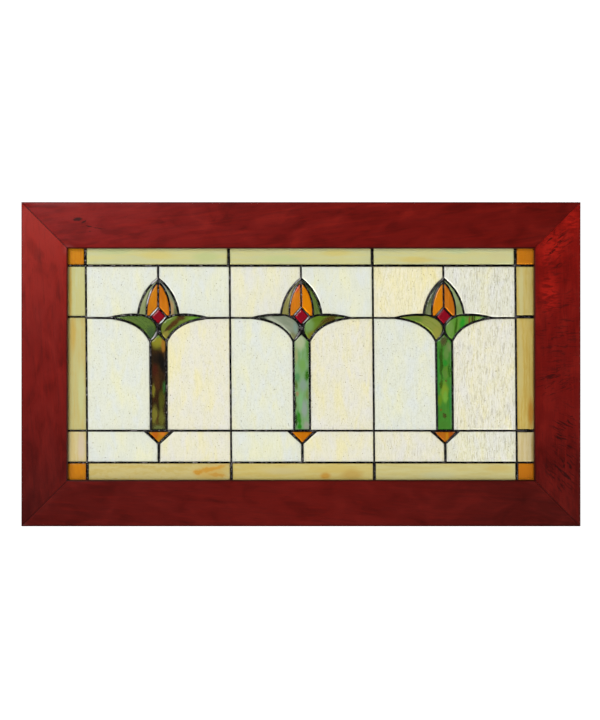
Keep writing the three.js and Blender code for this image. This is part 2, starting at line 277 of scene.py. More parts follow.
def triangulated(loops, spacing):
    """Points and triangles that fill the first outline but not the others.
    The outlines' own points come first, in order, and the triangles run anticlockwise."""
    rim = np.vstack(loops)
    owner = np.repeat(np.arange(len(loops)), [len(loop) for loop in loops])
    edges = []
    first = 0
    for loop in loops:
        count = len(loop)
        edges += [(first + i, first + (i + 1) % count) for i in range(count)]
        first += count
    inner = grid_points(loops, spacing)
    points = np.vstack([rim, np.array(inner).reshape(-1, 2)])
    result = delaunay_2d_cdt([Vector(p) for p in points], edges, [], 1, 1e-7)
    made, source = result[2], [ids[0] for ids in result[3]]
    triangles = []
    for face in made:
        corners = [source[corner] for corner in face]
        if all(corner < len(rim) for corner in corners):
            owners = {int(owner[corner]) for corner in corners}
            middle = points[corners].mean(axis=0)
            if len(owners) == 1 and owners != {0} and encloses(loops[owners.pop()], middle):
                continue
        triangles.append(corners)
    return points, np.array(triangles), edges


def encloses(loop, point):
    a, b = loop, np.roll(loop, -1, axis=0)
    crossing = (a[:, 1] > point[1]) != (b[:, 1] > point[1])
    a, b = a[crossing], b[crossing]
    cuts = a[:, 0] + (point[1] - a[:, 1]) / (b[:, 1] - a[:, 1]) * (b[:, 0] - a[:, 0])
    return np.count_nonzero(cuts > point[0]) % 2 == 1


def plate(name, points, triangles, edges, front_y, back_y):
    """A closed plate with the same triangles on its front and its back."""
    count = len(points)
    x, z = points.T
    vertices = np.vstack([np.column_stack((x, y, z)) for y in (front_y, back_y)])
    faces = [tuple(t) for t in triangles]
    faces += [(a + count, c + count, b + count) for a, b, c in triangles]
    faces += [(a + count, b + count, b, a) for a, b in edges]
    return mesh_object(name, vertices * MM, faces, creases_from=len(triangles) * 2)


def placed(name, data):
    """A new object in the scene."""
    made = bpy.data.objects.new(name, data)
    bpy.context.scene.collection.objects.link(made)
    return made


def mesh_object(name, vertices, faces, creases_from):
    """A new object, smooth but for its faces from the given one on."""
    mesh = bpy.data.meshes.new(name)
    mesh.from_pydata([tuple(v) for v in vertices], [], [tuple(map(int, f)) for f in faces])
    mesh.polygons.foreach_set("use_smooth", np.arange(len(faces)) < creases_from)
    mesh.update()
    return placed(name, mesh)


def membrane(points, triangles, fixed):
    """How far a film held at its first points bulges, as the square of half a seam's width."""
    corners = points[triangles]
    a, b, pull = [], [], []
    area = np.zeros(len(points))
    for k in range(3):
        apex = corners[:, k]
        left = corners[:, (k + 1) % 3] - apex
        right = corners[:, (k + 2) % 3] - apex
        cross = np.abs(left[:, 0] * right[:, 1] - left[:, 1] * right[:, 0])
        cotangent = np.clip(np.sum(left * right, axis=1) / np.maximum(cross, 1e-9), 0.02, 8)
        a += [triangles[:, (k + 1) % 3], triangles[:, (k + 2) % 3]]
        b += [triangles[:, (k + 2) % 3], triangles[:, (k + 1) % 3]]
        pull += [cotangent / 2, cotangent / 2]
        np.add.at(area, triangles[:, k], cross / 6)
    a, b, pull = np.concatenate(a), np.concatenate(b), np.concatenate(pull)
    total = np.bincount(a, pull, len(points))
    height = np.zeros(len(points))
    for _ in range(FILM_ROUNDS):
        height = (np.bincount(a, pull * height[b], len(points)) + 2 * area) / total
        height[:fixed] = 0
    return height


def smooth_noise(points, length, seed):
    """Smooth noise from about -1 to 1 at points of the plane."""
    offset = Vector((seed * 13.1, seed * 7.7, seed * 3.3))
    return np.array([noise.noise(Vector((x, 0, z)) / length + offset) for x, z in points])


# ======== Shaders ========

RIGHT_THROUGH = 1e4         # half the depth of a mark, which shows on both faces of its piece


def add_node(tree, kind, inputs=None, **settings):
    """A new node, with each input linked to the socket or set to the value that it is given."""
    made = tree.nodes.new("ShaderNode" + kind)
    for key, value in settings.items():
        setattr(made, key, value)
    for key, value in (inputs or {}).items():
        if isinstance(value, bpy.types.NodeSocket):
            tree.links.new(value, made.inputs[key])
        else:
            made.inputs[key].default_value = value
    return made


class Shader:
    """A material in the making. Its methods add nodes, and return the socket that they give."""

    def __init__(self, name, seed=0):
        self.material = bpy.data.materials.new(name)
        self.material.use_nodes = True
        self.tree = self.material.node_tree
        self.surface = self.tree.nodes["Principled BSDF"]
        coordinates = self.node("TexCoord").outputs["Object"]
        self.place = self.vector("SCALE", coordinates, scale=1 / MM)
        # Each seed reads the noise at a far-off place of its own.
        offset = (seed * 53.0 % 97 * 11, seed * 29.0 % 83 * 7, seed * 71.0 % 89 * 9)
        self.seeded = self.vector("ADD", self.place, offset)

    def node(self, kind, inputs=None, **settings):
        return add_node(self.tree, kind, inputs, **settings)

    def vector(self, operation, a, b=None, scale=None):
        inputs = {0: a}
        if b is not None:
            inputs[1] = b
        if scale is not None:
            inputs[3] = scale
        return self.node("VectorMath", inputs, operation=operation).outputs[
            "Value" if operation == "LENGTH" else "Vector"
        ]

    def math(self, operation, a, b=0.0):
        return self.node("Math", {0: a, 1: b}, operation=operation).outputs[0]

    def times(self, a, b):
        return self.math("MULTIPLY", a, b)

    def distance(self, a, b):
        return self.math("ABSOLUTE", self.math("SUBTRACT", a, b))

    def noise(self, size, detail=2.0, roughness=0.5, distortion=0.0, at=None):
        """Noise about 0.5, whose grains have the given size along x, y and z."""
        scaled = self.vector("DIVIDE", at or self.seeded, size)
        inputs = {
            "Vector": scaled,
            "Scale": 1.0,
            "Detail": detail,
            "Roughness": roughness,
            "Distortion": distortion,
        }
        return self.node("TexNoise", inputs).outputs[0]

    def between(self, value, low, high, to_low=0.0, to_high=1.0):
        """The value eased from one range to another, and held at both ends."""
        inputs = {0: value, 1: low, 2: high, 3: to_low, 4: to_high}
        return self.node("MapRange", inputs, interpolation_type="SMOOTHSTEP").outputs[0]

    def mix(self, share, a, b, blend="MIX"):
        made = self.node("Mix", {0: share, 6: a, 7: b}, data_type="RGBA", blend_type=blend)
        return made.outputs[2]

    def turned(self, at, tilt):
        """The place, turned in the plane of the panel by a tilt in degrees."""
        rotation = (0, math.radians(tilt), 0)
        return self.node("Mapping", {"Vector": at, "Rotation": rotation}).outputs[0]

    def wandering(self, distance, length):
        """The place in the object, shifted by up to the given distance."""
        grain = self.vector("DIVIDE", self.seeded, (length, length, length))
        cloud = self.node("TexNoise", {"Vector": grain, "Scale": 1.0, "Detail": 2.0}).outputs[1]
        shift = self.vector("SUBTRACT", cloud, (0.5, 0.5, 0.5))
        return self.vector("ADD", self.place, self.vector("SCALE", shift, scale=2 * distance))

    def blob(self, at, centre, half_size, tilt=0.0, core=0.3, rim=1.25):
        """1 inside a tilted ellipse round a centre in the plane of the panel, easing to 0 outside.
        The tilt turns it from upright towards the right, in degrees."""
        local = self.node("Mapping", {
            "Vector": at,
            "Location": (centre[0], 0, centre[1]),
            "Rotation": (0, math.radians(tilt), 0),
            "Scale": (half_size[0], RIGHT_THROUGH, half_size[1]),
        }, vector_type="TEXTURE").outputs[0]
        return self.between(self.vector("LENGTH", local), core, rim, 1.0, 0.0)

    def bump(self, height, distance, normal=None):
        inputs = {"Height": height, "Distance": distance * MM, "Strength": 1.0}
        if normal is not None:
            inputs["Normal"] = normal
        return self.node("Bump", inputs).outputs[0]

    def finish(self, colour, normal=None, **plain):
        self.tree.links.new(colour, self.surface.inputs["Base Color"])
        if normal is not None:
            self.tree.links.new(normal, self.surface.inputs["Normal"])
        for key, value in plain.items():
            socket = self.surface.inputs[key.replace("_", " ")]
            if isinstance(value, bpy.types.NodeSocket):
                self.tree.links.new(value, socket)
            else:
                socket.default_value = value
        return self.material


# ======== Glass ========

GLASS = {"Transmission_Weight": 0.45, "IOR": 1.5, "Roughness": 0.22, "Specular_IOR_Level": 0.35}

# The body of each cream sheet, its yellow wisps and its white ones.
CREAM_TINTS = {
    "cool": ((231, 233, 217), (238, 237, 204), (230, 234, 229)),
    "plain": ((233, 232, 214), (239, 235, 198), (233, 233, 226)),
    "warm": ((236, 233, 212), (241, 234, 188), (235, 233, 224)),
    "straw": ((242, 236, 202), (244, 234, 176), (240, 237, 214)),
}

PAINTED_RIPPLE_SHADE = srgb(150, 148, 124)    # painted shade for the shaded side of a ripple, painted highlight for its lit side, painted shade for the pits of the sheet's surface and the seeds in it
PAINTED_RIPPLE_HIGHLIGHT = srgb(250, 250, 244)     # its lit side,
PAINTED_PIT_SHADE = srgb(160, 158, 132)   # the pits of the sheet's surface
SEED = srgb(96, 92, 72)         # and the seeds in it

# Each background tile's tint, and how strongly the sheet was rippled when it was rolled. A bay's
# tiles run from upper left to lower right.
CREAM_BAYS = {
    1: (("cool", 0.1), ("cool", 0.1), ("cool", 0.1), ("warm", 0.1), ("cool", 0.1), ("warm", 0.1)),
    2: (("plain", 0.1), ("cool", 0.1), ("cool", 0.1), ("warm", 0.2), ("cool", 0.1), ("warm", 0.1)),
    3: (("straw", 0.5), ("plain", 1.0), ("cool", 0.2), ("warm", 0.9), ("warm", 0.5), ("plain", 0.9)),
}
BAY_PLACES = [f"{row}_{side}" for row in ("upper", "middle", "lower") for side in ("left", "right")]
CREAM_TILES = {
    f"bay_{bay}_{place}": tile
    for bay, tiles in CREAM_BAYS.items() for place, tile in zip(BAY_PLACES, tiles)
}


def cream_glass(name, seed):
    """Wispy cream-white sheet: upright wisps, a granite surface and small dark seeds, with painted shade
    in its furrows and pits and a painted highlight on its ridges.
    """
    tint, ripple = CREAM_TILES[name]
    body, yellow, white = (srgb(*colour) for colour in CREAM_TINTS[tint])
    shader = Shader(name, seed)
    broad = shader.between(shader.noise((17, 17, 52), detail=3, distortion=0.6), 0.44, 0.74)
    pale = shader.between(shader.noise((11, 11, 30), detail=3, distortion=0.6), 0.42, 0.66)
    colour = shader.mix(pale, body, white)
    colour = shader.mix(shader.times(broad, 0.9), colour, yellow)
    # Painted shade in the ripples' furrows and a painted highlight on their ridges, over the bump of the
    # same ripples.
    furrow = shader.noise((1.8, 1.8, 13), detail=2, roughness=0.5, distortion=1.2)
    painted_furrow_shade = shader.between(furrow, 0.34, 0.47, 0.42 * ripple + 0.05, 0.0)
    colour = shader.mix(painted_furrow_shade, colour, PAINTED_RIPPLE_SHADE)
    lit = shader.between(furrow, 0.52, 0.66, 0.0, 0.5 * ripple + 0.1)
    colour = shader.mix(lit, colour, PAINTED_RIPPLE_HIGHLIGHT)
    # Painted shade in the pits of the granite surface; the same noise is also its bump.
    granite = shader.noise((1.3, 1.3, 1.9), detail=1, roughness=0.6)
    colour = shader.mix(shader.between(granite, 0.3, 0.48, 0.24, 0.0), colour, PAINTED_PIT_SHADE)
    aside = shader.vector("ADD", shader.seeded, (70, 0, 0))
    seeds = shader.noise((2.0, 2.0, 2.6), detail=1, at=aside)
    colour = shader.mix(shader.between(seeds, 0.7, 0.77, 0.0, 0.75), colour, SEED)
    normal = shader.bump(granite, 0.08, shader.bump(furrow, 0.5 * ripple + 0.05))
    return shader.finish(colour, normal, **GLASS)


def streaky_glass(name, seed, box, design):
    """Opalescent sheet: wisps of a second colour along the grain, with patches of others."""
    shader = Shader(name, seed)
    width, height = box[1] - box[0]
    wisp_width, wisp_length = design.get("wisp", (3.0, 24.0))
    at = shader.wandering(design.get("wander", 1.6), 9.0)
    moved = shader.vector("ADD", at, (seed * 41.0, seed * 17.0, seed * 23.0))
    turned = shader.turned(moved, -design.get("grain", 0))
    wisps = shader.noise((wisp_width, wisp_width, wisp_length), detail=3, at=turned)
    body, second = (srgb(*design[key]) for key in ("body", "wisps"))
    colour = shader.mix(shader.between(wisps, 0.36, 0.64), body, second)
    for across, up, *half_size, tilt, patch in design.get("patches", ()):
        centre = (box[0][0] + across * width, box[0][1] + up * height)
        inside = shader.blob(at, centre, half_size, tilt, core=0.4, rim=1.3)
        inside = shader.times(inside, shader.between(wisps, 0.1, 0.45, 0.6, 1.0))
        colour = shader.mix(inside, colour, srgb(*patch))
    pitted = shader.noise((2.4, 2.4, 2.4), detail=2, roughness=0.6)
    return shader.finish(colour, shader.bump(pitted, 0.06), **GLASS)


# A sheet has body and wisp colours, and may have its wisps' width and length, the tilt of its grain
# in degrees, how far its marks wander, and patches. A patch is its place, as shares of the tile's
# width and height, half its width and height, its tilt in degrees and its colour.
LIME = {"body": (206, 207, 160), "wisps": (213, 208, 146), "grain": 90, "wisp": (5.0, 60.0)}
STRAW_LEVEL = {"body": (210, 196, 132), "wisps": (207, 187, 112), "grain": 90, "wisp": (4.5, 46.0)}
STRAW_UPRIGHT = {"body": (202, 194, 134), "wisps": (204, 186, 116), "wisp": (4.0, 60.0)}
AMBER = {"body": (212, 138, 20), "wisps": (200, 124, 20), "wisp": (2.2, 40.0)}
ORANGE = {"body": (210, 132, 14), "wisps": (198, 122, 20), "wisp": (3.0, 30.0)}
RUBY = {"body": (150, 8, 32), "wisps": (138, 10, 30)}

DESIGNS = {
    # Border
    "border_corner_top_left": {**AMBER, "body": (212, 142, 18)},
    "border_corner_top_right": {**AMBER, "body": (203, 126, 28)},
    "border_corner_foot_left": AMBER,
    "border_corner_foot_right": {**AMBER, "body": (204, 124, 22)},
    "border_top_1": {**LIME, "patches": [
        (0.5, 0.5, 30, 7, 0, (214, 204, 132)), (0.85, 0.4, 24, 9, 0, (198, 205, 146)),
        (0.2, 0.7, 30, 6, 0, (200, 206, 150))]},
    "border_top_2": {**LIME, "patches": [
        (0.35, 0.3, 34, 6, 0, (200, 207, 150)), (0.75, 0.6, 26, 6, 0, (214, 203, 130))]},
    "border_top_3": {**LIME, "patches": [
        (0.3, 0.25, 30, 6, 0, (213, 200, 126)), (0.6, 0.75, 22, 6, 0, (200, 208, 158)),
        (0.9, 0.4, 20, 8, 0, (208, 204, 150))]},
    "border_foot_1": {**STRAW_LEVEL, "wander": 4.0, "body": (212, 198, 136), "patches": [
        (0.86, 0.5, 26, 12, 0, (212, 184, 104)),
        (0.87, 0.72, 4.0, 26, 77, (212, 162, 66)),
        (0.91, 0.4, 2.6, 15, 98, (210, 164, 74)),
        (0.77, 0.56, 4.5, 8, 84, (210, 156, 58))]},
    "border_foot_2": {**STRAW_LEVEL, "body": (214, 200, 130), "wisps": (212, 192, 112), "patches": [
        (0.66, 0.35, 9, 6, 0, (208, 162, 70)), (0.35, 0.6, 34, 6, 0, (212, 198, 138)),
        (0.85, 0.4, 18, 9, 0, (204, 176, 96))]},
    "border_foot_3": {**STRAW_LEVEL, "body": (213, 205, 146), "wisps": (210, 198, 132), "patches": [
        (0.45, 0.4, 30, 6, 0, (208, 204, 154)), (0.88, 0.75, 24, 6, 0, (209, 192, 120))]},
    "border_left_upper": {
        **STRAW_UPRIGHT, "body": (205, 206, 156), "wisps": (206, 200, 136), "patches": [
            (0.24, 0.5, 3.0, 60, 0, (208, 178, 90))]},
    "border_left_middle": {**STRAW_UPRIGHT, "body": (202, 196, 136), "patches": [
        (0.35, 0.85, 5, 34, 0, (206, 178, 96)), (0.75, 0.35, 5, 50, 0, (204, 204, 148))]},
    "border_left_lower": {
        **STRAW_UPRIGHT, "body": (216, 204, 152), "wisps": (214, 192, 130), "patches": [
            (0.75, 0.5, 6, 26, 0, (216, 200, 172))]},
    "border_right_upper": {
        **STRAW_UPRIGHT, "body": (209, 194, 126), "wisps": (202, 180, 100), "patches": [
            (0.25, 0.5, 4, 60, 0, (206, 198, 140)), (0.9, 0.5, 3, 60, 0, (168, 138, 70))]},
    "border_right_middle": {
        **STRAW_UPRIGHT, "body": (209, 189, 112), "wisps": (200, 172, 86), "patches": [
            (0.2, 0.6, 4, 70, 0, (204, 190, 124)), (0.72, 0.15, 5, 24, 0, (192, 142, 58)),
            (0.9, 0.6, 3, 70, 0, (170, 140, 70))]},
    "border_right_lower": {
        **STRAW_UPRIGHT, "body": (218, 204, 160), "wisps": (208, 190, 136), "patches": [
            (0.85, 0.5, 4, 30, 0, (180, 158, 98))]},
    # First flower
    "flower_1_outer_petal_left": {"body": (138, 150, 98), "wisps": (156, 162, 118), "grain": 18},
    "flower_1_outer_petal_right": {"body": (124, 138, 104), "wisps": (144, 148, 130), "patches": [
        (0.62, 0.22, 6, 16, -8, (186, 152, 100)), (0.2, 0.8, 5, 10, -25, (136, 142, 142)),
        (0.9, 0.1, 3, 8, 0, (112, 118, 76))]},
    "flower_1_inner_petal_left": ORANGE,
    "flower_1_inner_petal_right": {**ORANGE, "body": (214, 124, 20), "patches": [
        (0.25, 0.7, 4, 14, -10, (196, 112, 14))]},
    "flower_1_leaf_left": {"body": (86, 114, 46), "wisps": (96, 122, 56), "grain": -60, "patches": [
        (0.88, 0.2, 8, 14, 0, (66, 92, 50)), (0.32, 0.78, 18, 4, 8, (104, 124, 58)),
        (0.6, 0.4, 10, 3, 60, (74, 106, 40))]},
    "flower_1_leaf_right": {"body": (100, 128, 44), "wisps": (116, 134, 50), "grain": 52, "patches": [
        (0.1, 0.4, 8, 12, 0, (116, 128, 48)), (0.3, 0.64, 4.5, 20, 48, (88, 56, 20)),
        (0.13, 0.42, 1.6, 12, 44, (62, 48, 18)), (0.5, 0.93, 7, 5, 0, (84, 56, 22)),
        (0.84, 0.9, 11, 4, 0, (112, 164, 58)), (0.12, 0.2, 6, 7, 0, (150, 140, 60)),
        (0.26, 0.1, 4, 5, 0, (110, 160, 52))]},
    "flower_1_stem": {
        "body": (64, 44, 16), "wisps": (44, 28, 12), "grain": -8, "wander": 2.6, "patches": [
            (0.5, 0.95, 16, 15, 0, (146, 142, 40)), (0.42, 0.985, 5, 4, 0, (104, 136, 34)),
            (0.84, 0.9, 4, 12, 0, (168, 116, 40)), (0.4, 0.74, 11, 10, 0, (36, 25, 14)),
            (0.75, 0.7, 6, 17, -12, (20, 17, 12)), (0.25, 0.62, 5, 12, 0, (72, 30, 14)),
            (0.4, 0.5, 5, 16, 0, (78, 46, 18)), (0.15, 0.41, 3, 11, 0, (120, 112, 36)),
            (0.9, 0.44, 3, 11, 0, (50, 96, 38)), (0.72, 0.3, 5, 18, 0, (82, 84, 22)),
            (0.22, 0.15, 6, 16, 0, (124, 118, 44)), (0.7, 0.12, 6, 14, 0, (104, 104, 38)),
            (0.3, 0.32, 5, 5, -40, (58, 34, 12)), (0.45, 0.1, 1.5, 14, 5, (84, 62, 22)),
            (0.5, 0.02, 11, 5, 0, (104, 112, 60))]},
    "flower_1_foot": {**ORANGE, "body": (190, 130, 22), "wisps": (182, 124, 14), "patches": [
        (0.3, 0.7, 7, 7, 0, (190, 100, 14)), (0.7, 0.85, 5, 4, 0, (216, 124, 40))]},
    # Second flower
    "flower_2_outer_petal_left": {
        "body": (148, 146, 84), "wisps": (138, 132, 70), "grain": 18, "patches": [
            (0.7, 0.8, 4, 9, 25, (126, 120, 84))]},
    "flower_2_outer_petal_right": {
        "body": (94, 114, 48), "wisps": (106, 124, 64), "grain": -15, "patches": [
            (0.2, 0.85, 6, 14, -20, (58, 76, 46)), (0.9, 0.3, 2.5, 14, -10, (82, 106, 60))]},
    "flower_2_inner_petal_left": {**ORANGE, "body": (220, 128, 26), "patches": [
        (0.75, 0.95, 5, 12, 15, (204, 78, 36))]},
    "flower_2_inner_petal_right": {**ORANGE, "body": (224, 138, 2), "wisps": (218, 132, 2)},
    "flower_2_leaf_left": {"body": (138, 148, 124), "wisps": (150, 158, 136), "grain": -60, "patches": [
        (0.12, 0.9, 17, 7, 0, (88, 96, 80)), (0.46, 0.7, 4, 24, -56, (178, 184, 162)),
        (0.45, 0.42, 3, 18, -52, (104, 112, 92)), (0.85, 0.1, 8, 8, 0, (126, 128, 88)),
        (0.93, 0.5, 4, 10, 0, (136, 156, 142))]},
    "flower_2_leaf_right": {"body": (104, 128, 44), "wisps": (104, 136, 40), "grain": 52, "patches": [
        (0.1, 0.6, 9, 13, 0, (122, 158, 92)), (0.36, 0.85, 12, 5, 0, (98, 130, 34)),
        (0.6, 0.78, 8, 18, 60, (86, 70, 24)), (0.4, 0.52, 4, 20, 50, (84, 68, 20)),
        (0.32, 0.4, 2, 18, 48, (118, 140, 30)), (0.2, 0.12, 8, 9, 0, (128, 124, 38)),
        (0.88, 0.88, 8, 3, 0, (126, 140, 78))]},
    "flower_2_stem": {"body": (122, 164, 104), "wisps": (132, 172, 122), "wander": 2.4, "patches": [
        (0.35, 0.93, 10, 15, 0, (178, 190, 150)), (0.92, 0.85, 4, 20, 0, (96, 146, 64)),
        (0.12, 0.78, 3, 15, 0, (158, 166, 112)), (0.55, 0.68, 6, 12, 0, (120, 166, 88)),
        (0.2, 0.55, 5, 8, 0, (92, 150, 94)), (0.84, 0.57, 4, 10, 6, (58, 118, 22)),
        (0.6, 0.47, 6, 11, 0, (138, 162, 142)), (0.13, 0.47, 3, 8, 0, (96, 122, 58)),
        (0.2, 0.375, 4, 4, 0, (158, 138, 98)), (0.88, 0.37, 3, 10, 0, (118, 150, 80)),
        (0.42, 0.3, 4, 15, 0, (128, 182, 122)), (0.68, 0.22, 5, 16, 0, (148, 164, 150)),
        (0.06, 0.26, 1.8, 17, 0, (62, 76, 30)), (0.12, 0.1, 3, 11, 0, (44, 84, 26)),
        (0.3, 0.12, 3, 14, -8, (48, 134, 24)), (0.34, 0.03, 4, 5, 0, (40, 138, 20)),
        (0.82, 0.04, 5, 8, 0, (156, 160, 142))]},
    "flower_2_foot": {**ORANGE, "body": (204, 122, 4), "wisps": (198, 114, 6)},
    # Third flower
    "flower_3_outer_petal_left": {"body": (96, 106, 66), "wisps": (80, 92, 58), "grain": 18, "patches": [
        (0.72, 0.85, 6, 15, 22, (50, 62, 50)), (0.3, 0.12, 6, 12, 8, (124, 132, 92))]},
    "flower_3_outer_petal_right": {
        "body": (146, 162, 106), "wisps": (158, 172, 128), "grain": -15, "patches": [
            (0.7, 0.15, 6, 10, 0, (138, 152, 92))]},
    "flower_3_inner_petal_left": {**ORANGE, "body": (220, 138, 6), "wisps": (212, 130, 8)},
    "flower_3_inner_petal_right": {**ORANGE, "body": (204, 124, 30), "wisps": (192, 110, 18)},
    "flower_3_leaf_left": {"body": (132, 146, 56), "wisps": (146, 152, 74), "grain": -60, "patches": [
        (0.3, 0.85, 18, 5, 0, (104, 134, 50)), (0.88, 0.25, 8, 13, 0, (152, 152, 66)),
        (0.55, 0.52, 3, 16, -55, (112, 130, 44))]},
    "flower_3_leaf_right": {"body": (104, 152, 58), "wisps": (92, 146, 48), "patches": [
        (0.1, 0.5, 6, 14, 0, (118, 156, 76)), (0.25, 0.55, 2.5, 17, 8, (62, 108, 18)),
        (0.4, 0.68, 4.5, 12, 10, (46, 154, 40)), (0.57, 0.8, 1.6, 9, 6, (128, 92, 44)),
        (0.64, 0.85, 2, 9, 6, (84, 82, 26)), (0.69, 0.85, 1.3, 8, 6, (44, 58, 18)),
        (0.8, 0.88, 7, 5, 0, (130, 166, 72)), (0.93, 0.9, 7, 4, 0, (84, 112, 76)),
        (0.3, 0.1, 6, 8, 0, (96, 150, 48))]},
    "flower_3_stem": {"body": (66, 134, 44), "wisps": (78, 140, 50), "wander": 2.4, "patches": [
        (0.15, 0.72, 3, 22, 0, (44, 94, 22)), (0.78, 0.87, 4, 9, 0, (116, 138, 78)),
        (0.62, 0.62, 5, 13, 0, (98, 142, 44)), (0.5, 0.4, 6, 16, 0, (128, 158, 46)),
        (0.1, 0.6, 2.5, 40, 0, (60, 142, 52)), (0.3, 0.72, 2.4, 30, 0, (52, 92, 20)),
        (0.45, 0.93, 6, 9, 0, (82, 82, 44)), (0.62, 0.8, 4, 12, 0, (104, 144, 70)),
        (0.55, 0.7, 4, 5, 0, (46, 142, 44)), (0.82, 0.62, 3, 12, 0, (56, 112, 28)),
        (0.55, 0.59, 4, 8, 0, (98, 140, 58)), (0.63, 0.51, 2, 1.8, 60, (112, 84, 34)),
        (0.28, 0.47, 3, 8, 0, (66, 98, 16)), (0.56, 0.34, 4, 10, 0, (118, 170, 60)),
        (0.2, 0.31, 4, 9, 0, (106, 146, 30)), (0.9, 0.3, 2.5, 30, 0, (48, 132, 54)),
        (0.26, 0.21, 2, 2.2, 0, (124, 96, 30)), (0.5, 0.145, 2.6, 4.6, -15, (76, 76, 30)),
        (0.4, 0.05, 8, 6, 0, (74, 134, 46))]},
    "flower_3_foot": {**ORANGE, "body": (186, 108, 22), "wisps": (178, 100, 18), "patches": [
        (0.6, 0.6, 2.5, 10, 0, (198, 136, 20)), (0.8, 0.8, 5, 6, 0, (176, 88, 18))]},
}


def glass_material(name, seed, loop):
    if name in CREAM_TILES:
        return cream_glass(name, seed)
    design = RUBY if name.endswith("diamond") else DESIGNS[name]
    return streaky_glass(name, seed, (loop.min(axis=0), loop.max(axis=0)), design)


def glass_tile(name, loop, seed, node):
    """One tile of rolled glass, a little uneven on both faces."""
    ripple = CREAM_TILES.get(name, ("", 0.0))[1]
    points, triangles, edges = triangulated([inset(loop, TILE_GAP)], TILE_SPACING)

    def relief(pattern):
        rolled = smooth_noise(points, ROLLING_LENGTH, pattern) * ROLLING
        upright = points * (1.0, 1 / RIPPLE_STRETCH)
        return rolled + smooth_noise(upright, RIPPLE_LENGTH, pattern + 0.5) * RIPPLE * ripple

    front_y = -GLASS_HALF + relief(seed)
    back_y = GLASS_HALF + relief(seed + BACK_PATTERN)
    tile = plate(name + "_glass", points, triangles, edges, front_y, back_y)
    tile.data.materials.append(glass_material(name, seed, loop))
    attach(tile, "root")
    if node:
        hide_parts(node)


# ======== Solder ========

PATINA_DARK = srgb(9, 8, 8)
PATINA_PALE = srgb(22, 21, 22)
# Partly wear through the patina and partly painted sheen:
WORN_AND_SHEEN = srgb(112, 106, 108)
# Painted glints:
PAINTED_SPARKLE = srgb(184, 182, 180)
# Painted highlight on the seams that catch the lamp:
PAINTED_GLINT = srgb(196, 192, 192)
LIGHT_FALL_SPAN = (-90, 120)      # x of the start and the end of the fall in painted light, from left to right

# Painted glints where the lamp at the upper left is reflected in a flower's seams: across its axis and
# above its stem's top, with half the mark's width and length, and its lean to the right in degrees. The
# shares are how much it shows on each flower.
GLINT_MARKS = (
    ((-6.6, 35.3), (1.5, 10), 42),
    ((6.4, 21.3), (1.5, 8), 42),
    ((-15.5, 58), (2.2, 19), 18),
    ((-6, 84), (3.0, 8), 36),
    ((-8, -3), (2.6, 9), 38),
)
GLINT_SHARES = {1: 0.9, 2: 0.4, 3: 0.15}


def solder_material():
    """Black patina over grey solder; on the crown of the bead, patches of wear and painted sheen, and
    painted glints.
    """
    shader = Shader("solder")
    crown = shader.node("Attribute", attribute_name="crown").outputs["Fac"]
    cloud = shader.noise((7, 7, 7), detail=3)
    colour = shader.mix(shader.between(cloud, 0.35, 0.65), PATINA_DARK, PATINA_PALE)
    x, _, _ = shader.node("SeparateXYZ", {0: shader.place}).outputs
    # Grey patches on the crown of the bead: partly wear through the patina, partly painted sheen; they
    # fade to the right as painted light.
    patches = shader.between(shader.noise((8, 8, 8), detail=4, roughness=0.7), 0.54, 0.62)
    wear_and_sheen = shader.times(patches, shader.between(crown, 0.6, 0.95))
    wear_and_sheen = shader.times(wear_and_sheen, shader.between(x, *LIGHT_FALL_SPAN, 0.9, 0.3))
    colour = shader.mix(wear_and_sheen, colour, WORN_AND_SHEEN)
    # Painted glints: small bright points on the crown, fading to the right as painted light.
    painted_sparkles = shader.between(shader.noise((1.8, 1.8, 1.8), detail=2, roughness=0.7), 0.64, 0.7)
    painted_sparkles = shader.times(painted_sparkles, shader.between(x, *LIGHT_FALL_SPAN, 1.0, 0.3))
    colour = shader.mix(shader.times(painted_sparkles, crown), colour, PAINTED_SPARKLE)
    at = shader.wandering(0.8, 5.0)
    # Painted glints on the crown of the bead, on the seams that face the lamp at the upper left.
    glint_crown = shader.between(crown, 0.5, 0.9)
    for flower, share in GLINT_SHARES.items():
        low, high = (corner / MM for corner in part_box(f"flower_{flower}_stem"))
        for (across, height), half_size, tilt in GLINT_MARKS:
            centre = ((low.x + high.x) / 2 + across, high.z + height)
            glint = shader.blob(at, centre, half_size, tilt, core=0.6, rim=1.1)
            glint = shader.times(shader.times(glint, glint_crown), share)
            colour = shader.mix(glint, colour, PAINTED_GLINT)
    roughness = shader.between(cloud, 0.3, 0.7, 0.16, 0.3)
    dimples = shader.noise((1.1, 1.1, 1.1), detail=2)
    lumps = shader.noise((3.2, 3.2, 3.2), detail=1)
    normal = shader.bump(lumps, 0.35, shader.bump(dimples, 0.06))
    return shader.finish(colour, normal, Metallic=0.3, Roughness=roughness, Specular_IOR_Level=0.3)


def solder_seams(loops):
    """The whole network of soldered seams: a rounded bead on both faces of the panel."""
    rim_count = sum(len(loop) for loop in loops)
    points, triangles, edges = triangulated(loops, SEAM_SPACING)
    bulge = np.sqrt(np.maximum(membrane(points, triangles, rim_count), 0))

    def bead(height, seed):
        lumps = 1 + BEAD_LUMPS * smooth_noise(points, BEAD_LUMP_LENGTH, seed)
        return GLASS_HALF - BEAD_SINK + height * bulge * lumps

    seams = plate("solder_beads", points, triangles, edges, -bead(BEAD_FRONT, 3), bead(BEAD_BACK, 8))
    crown = seams.data.attributes.new("crown", "FLOAT", "POINT")
    crown.data.foreach_set("value", np.tile(np.minimum(bulge / CROWN_BULGE, 1), 2))
    seams.data.materials.append(solder_material())
    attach(seams, "root")
    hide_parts("solder_seams")


